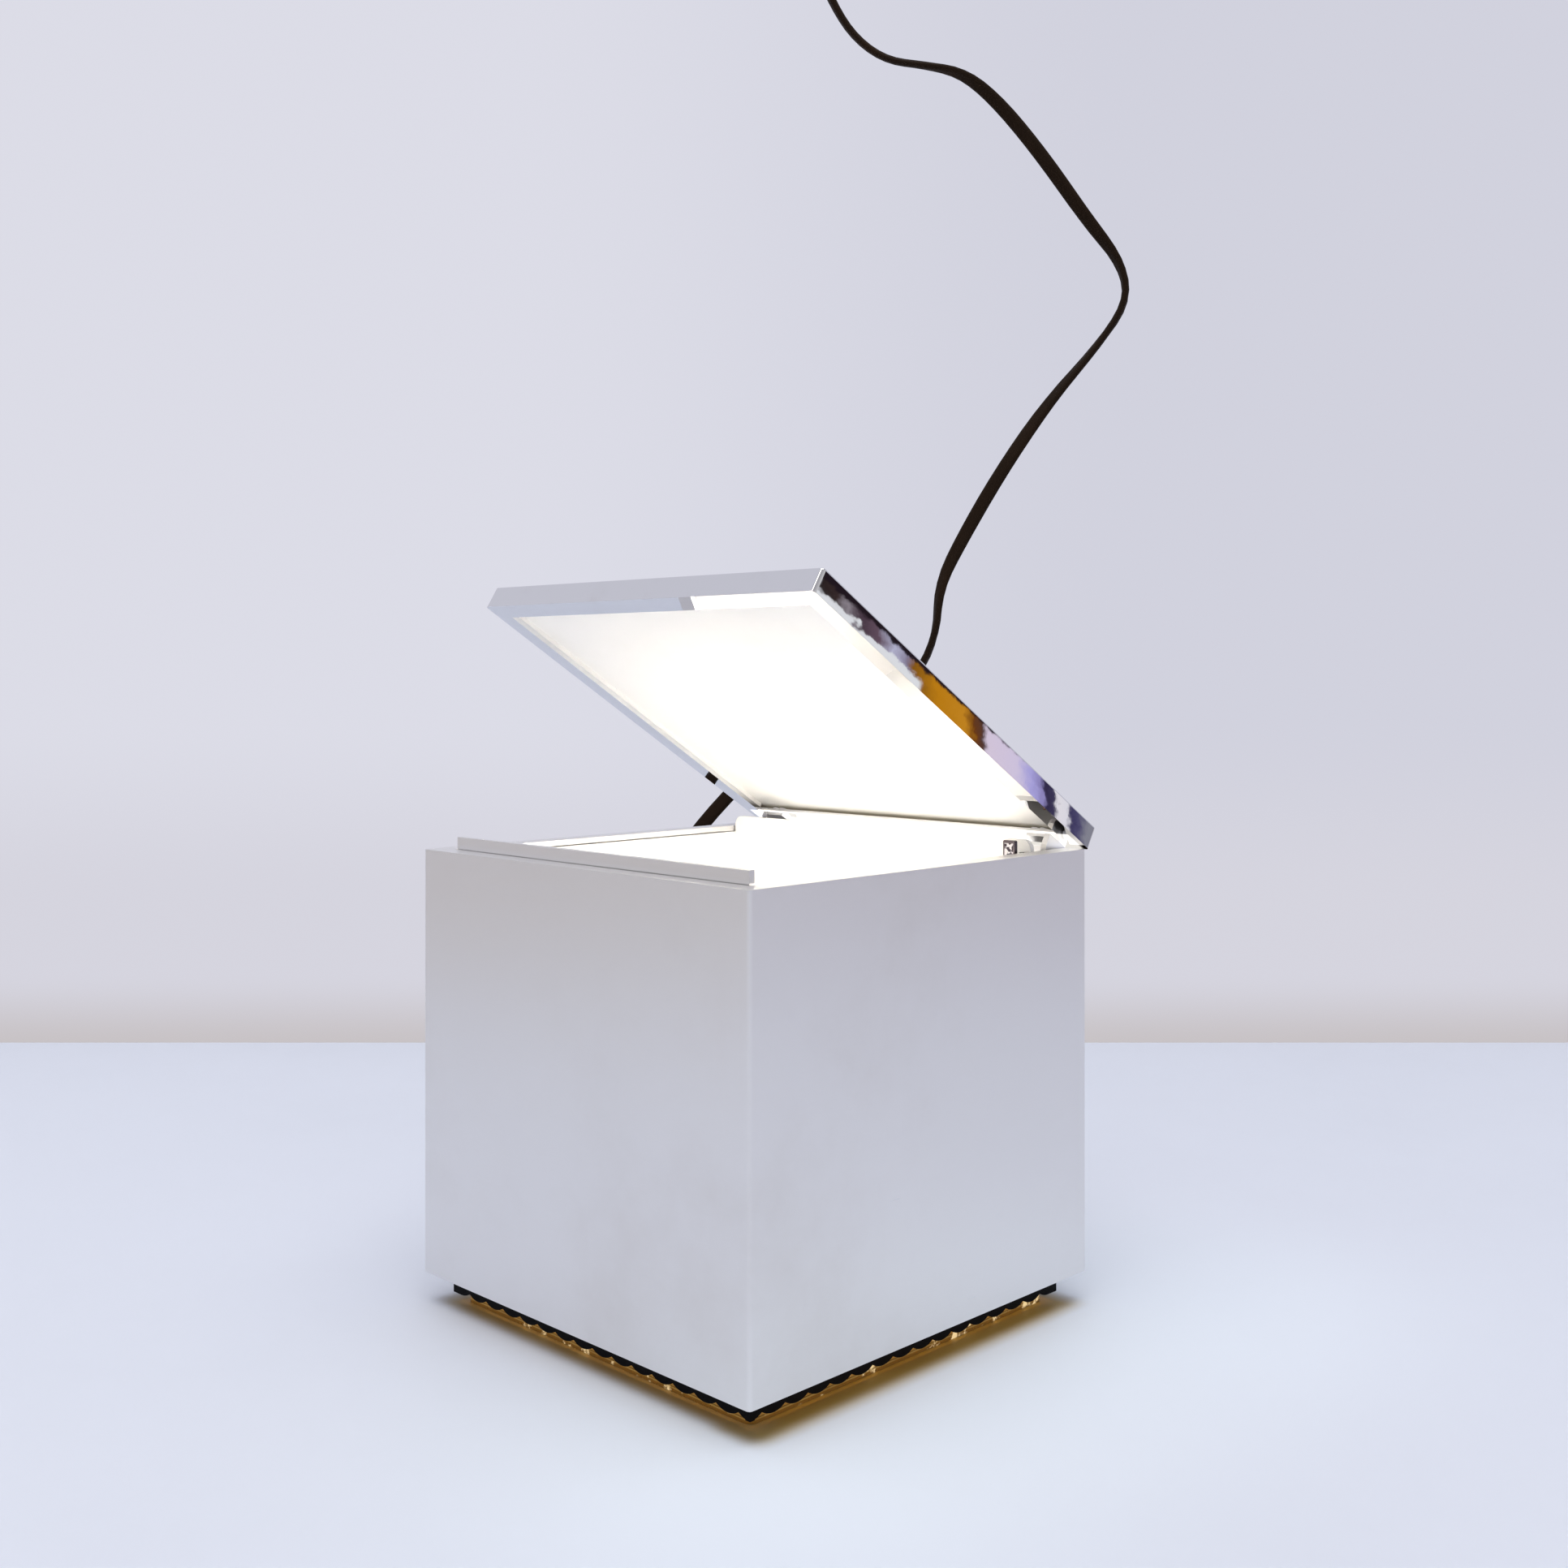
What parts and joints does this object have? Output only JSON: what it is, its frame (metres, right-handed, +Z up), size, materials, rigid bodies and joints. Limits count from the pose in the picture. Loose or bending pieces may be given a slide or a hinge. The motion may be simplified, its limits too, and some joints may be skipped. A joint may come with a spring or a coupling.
{
  "type": "cube table lamp",
  "caption": "Cube table lamp: an open aluminium box on a vented base, with a hinged reflector lid that throws the light forward and works the switch.",
  "frame": {"origin": "centre of the body's square footprint, on the table", "axes": "+Z up, -Y the front that the lid opens towards, +X to the right, hinge along X at the back"},
  "size_m": [0.1652, 0.2088, 0.401],
  "materials": {
    "satin_aluminium": "satin",
    "bright_plate": "polished",
    "bright_steel": "brushed",
    "white_paint": "matt white",
    "black_plastic": "semi-matt black",
    "black_rubber": "matt",
    "gold_shield": "gold anodised",
    "brown_plastic": "glossy moulded",
    "brass_contact": "bright",
    "lit_glass": "frosted, lit",
    "cord_plastic": "semi-matt dark brown"
  },
  "bodies": {
    "lamp": {"body_sleeve": "satin_aluminium", "front_lip": "satin_aluminium", "lip_rivets": "bright_steel", "rear_panel": "white_paint", "hinge_cover": "white_paint", "reflector_well": "white_paint", "base_tray": "black_plastic", "rubber_foot": "black_rubber", "heat_shield": "gold_shield", "vent_band": "gold_shield", "hinge_bracket_left": "bright_steel", "hinge_bracket_right": "bright_steel", "hinge_pins": "bright_steel", "bracket_rivets": "bright_steel", "switch_body": "brown_plastic", "switch_terminals": "brass_contact", "switch_screws": "bright_steel", "lamp_holder": "brown_plastic", "holder_shell": "brass_contact", "holder_contact": "brass_contact", "holder_screws": "bright_steel", "bulb_glass": "lit_glass", "bulb_cap": "brass_contact", "bulb_tip": "brass_contact", "bulb_filament": "bright_steel", "terminal_block": "brown_plastic", "terminal_screws": "brass_contact", "cord_clamp": "brown_plastic", "clamp_screws": "bright_steel", "inner_lead": "cord_plastic", "switch_wires": "cord_plastic", "holder_wires": "cord_plastic", "base_screws": "bright_steel", "strain_relief": "black_rubber", "cord_lead": "cord_plastic", "cord_coil": "cord_plastic", "cord_tie": "black_rubber", "mains_cord": "cord_plastic", "plug_body": "black_plastic", "plug_pins": "brass_contact"},
    "lid": {"lid_shell": "bright_plate", "lid_reflector": "white_paint", "hinge_arm_left": "bright_steel", "hinge_arm_right": "bright_steel", "arm_rivets": "bright_steel"},
    "plunger": {"switch_plunger": "bright_plate"}
  },
  "joints": [
    {"name": "lid_hinge", "type": "hinge", "parent": "lamp", "child": "lid", "pos_m": [0, 0.0484, 0.0948], "axis": [-1, 0, 0], "range_deg": [-31.6, 58.4]},
    {"name": "switch_slide", "type": "slide", "parent": "lamp", "child": "plunger", "axis": [0, 1, 0], "range_m": [-0.0006, 0.0011]}
  ],
  "couplings": [
    {"joint": "switch_slide", "follows": "lid_hinge", "m_per_rad": 0.001}
  ]
}
